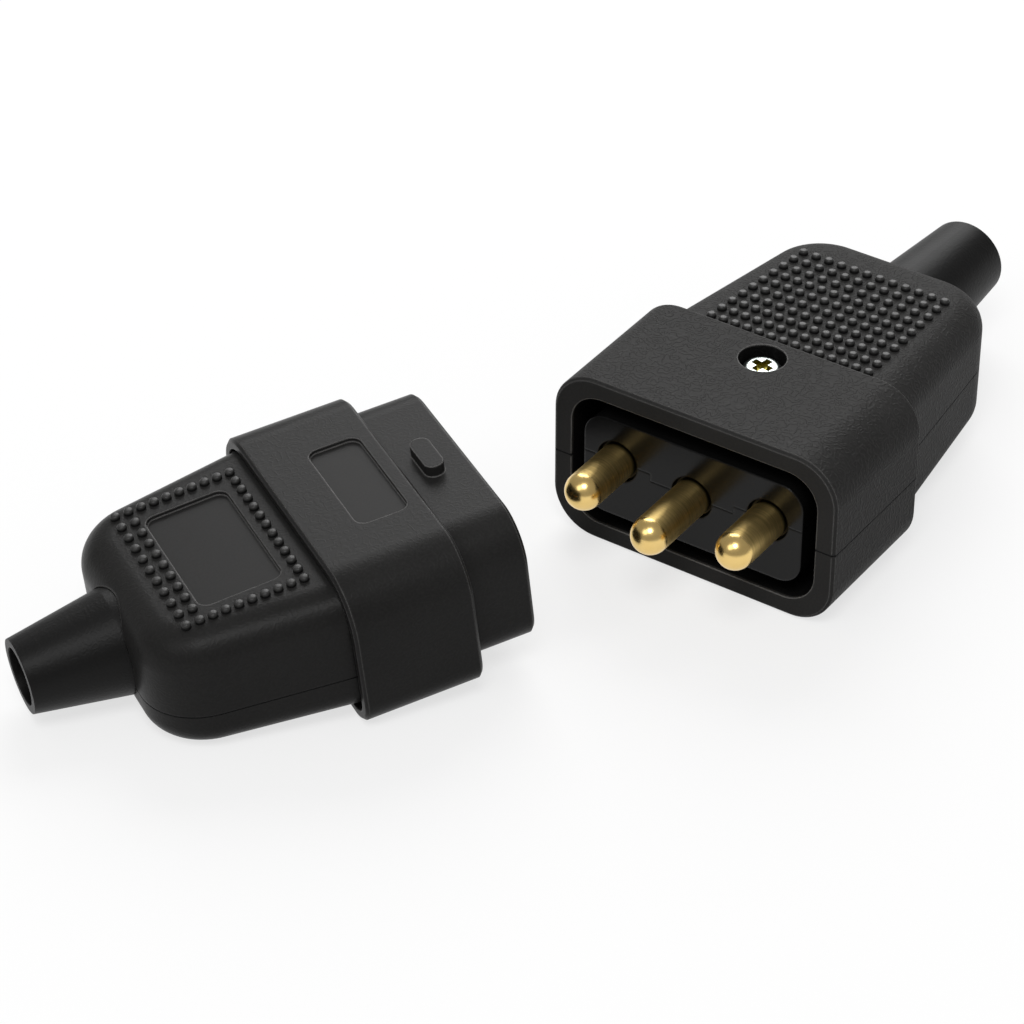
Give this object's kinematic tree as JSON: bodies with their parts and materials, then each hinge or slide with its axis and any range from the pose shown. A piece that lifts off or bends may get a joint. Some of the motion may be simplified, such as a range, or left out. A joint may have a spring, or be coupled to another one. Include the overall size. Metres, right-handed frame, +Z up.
{
  "type": "inline power connector",
  "caption": "Rewirable inline power connector lying apart: a black plug half with domed brass pins in a shrouded rim and a socket half with a hollow nose and a beaded grip.",
  "frame": {"origin": "middle of the pair's outline, on the surface that both halves lie on", "axes": "+X from the socket half to the plug half, along the pair's longest extent; +Z up from the surface"},
  "size_m": [0.1518, 0.0592, 0.0246],
  "materials": {
    "black_moulding": "satin moulded, fine grain",
    "inner_moulding": "plain moulded",
    "sleeve": "smooth satin",
    "brass": "turned, polished domes",
    "zinc_steel": "zinc plated"
  },
  "bodies": {
    "root": {"plug_upper_shell": "black_moulding", "plug_lower_shell": "black_moulding", "plug_pin_live": "brass", "plug_terminal_screw_live": "zinc_steel", "plug_pin_earth": "brass", "plug_terminal_screw_earth": "zinc_steel", "plug_pin_neutral": "brass", "plug_terminal_screw_neutral": "zinc_steel", "plug_cover_screw": "zinc_steel", "plug_cover_nut": "zinc_steel", "plug_cord_clamp": "inner_moulding", "plug_clamp_screw_left": "zinc_steel", "plug_clamp_screw_right": "zinc_steel", "plug_cable_sleeve": "sleeve", "socket_front_housing": "black_moulding", "socket_upper_grip": "black_moulding", "socket_lower_grip": "black_moulding", "socket_contact_live": "brass", "socket_terminal_screw_live": "zinc_steel", "socket_contact_earth": "brass", "socket_terminal_screw_earth": "zinc_steel", "socket_contact_neutral": "brass", "socket_terminal_screw_neutral": "zinc_steel", "socket_cover_screw": "zinc_steel", "socket_cover_nut": "zinc_steel", "socket_cord_clamp": "inner_moulding", "socket_clamp_screw_left": "zinc_steel", "socket_clamp_screw_right": "zinc_steel", "socket_cable_sleeve": "sleeve"}
  },
  "joints": []
}
